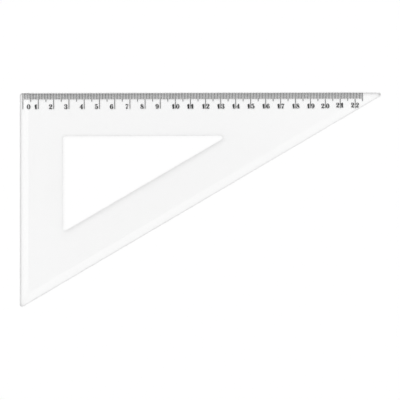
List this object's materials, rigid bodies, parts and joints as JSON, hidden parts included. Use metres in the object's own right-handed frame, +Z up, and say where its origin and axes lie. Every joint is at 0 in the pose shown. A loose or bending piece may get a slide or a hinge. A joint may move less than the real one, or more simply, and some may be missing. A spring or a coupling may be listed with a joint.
{
  "type": "drafting triangle",
  "caption": "Clear plastic 30/60/90 set square with a triangular window, two bevelled guide edges and a black centimetre scale along its long leg.",
  "frame": {"origin": "middle of the outline's bounding box, on the flat stamped underside that lies on the sheet", "axes": "+X along the long leg, from the right angle to the 30 degree tip; +Y square to it, out through the scale edge; +Z up, out of the bevelled face"},
  "size_m": [0.2394, 0.1394, 0.002],
  "materials": {
    "clear_plastic": "polished",
    "black_foil": "satin"
  },
  "bodies": {
    "root": {"plate": "clear_plastic", "centimetre_mark_00": "black_foil", "half_centimetre_mark_00": "black_foil", "centimetre_mark_01": "black_foil", "half_centimetre_mark_01": "black_foil", "centimetre_mark_02": "black_foil", "half_centimetre_mark_02": "black_foil", "centimetre_mark_03": "black_foil", "half_centimetre_mark_03": "black_foil", "centimetre_mark_04": "black_foil", "half_centimetre_mark_04": "black_foil", "centimetre_mark_05": "black_foil", "half_centimetre_mark_05": "black_foil", "centimetre_mark_06": "black_foil", "half_centimetre_mark_06": "black_foil", "centimetre_mark_07": "black_foil", "half_centimetre_mark_07": "black_foil", "centimetre_mark_08": "black_foil", "half_centimetre_mark_08": "black_foil", "centimetre_mark_09": "black_foil", "half_centimetre_mark_09": "black_foil", "centimetre_mark_10": "black_foil", "half_centimetre_mark_10": "black_foil", "centimetre_mark_11": "black_foil", "half_centimetre_mark_11": "black_foil", "centimetre_mark_12": "black_foil", "half_centimetre_mark_12": "black_foil", "centimetre_mark_13": "black_foil", "half_centimetre_mark_13": "black_foil", "centimetre_mark_14": "black_foil", "half_centimetre_mark_14": "black_foil", "centimetre_mark_15": "black_foil", "half_centimetre_mark_15": "black_foil", "centimetre_mark_16": "black_foil", "half_centimetre_mark_16": "black_foil", "centimetre_mark_17": "black_foil", "half_centimetre_mark_17": "black_foil", "centimetre_mark_18": "black_foil", "half_centimetre_mark_18": "black_foil", "centimetre_mark_19": "black_foil", "half_centimetre_mark_19": "black_foil", "centimetre_mark_20": "black_foil", "half_centimetre_mark_20": "black_foil", "centimetre_mark_21": "black_foil", "half_centimetre_mark_21": "black_foil", "centimetre_mark_22": "black_foil", "half_centimetre_mark_22": "black_foil"}
  },
  "joints": []
}
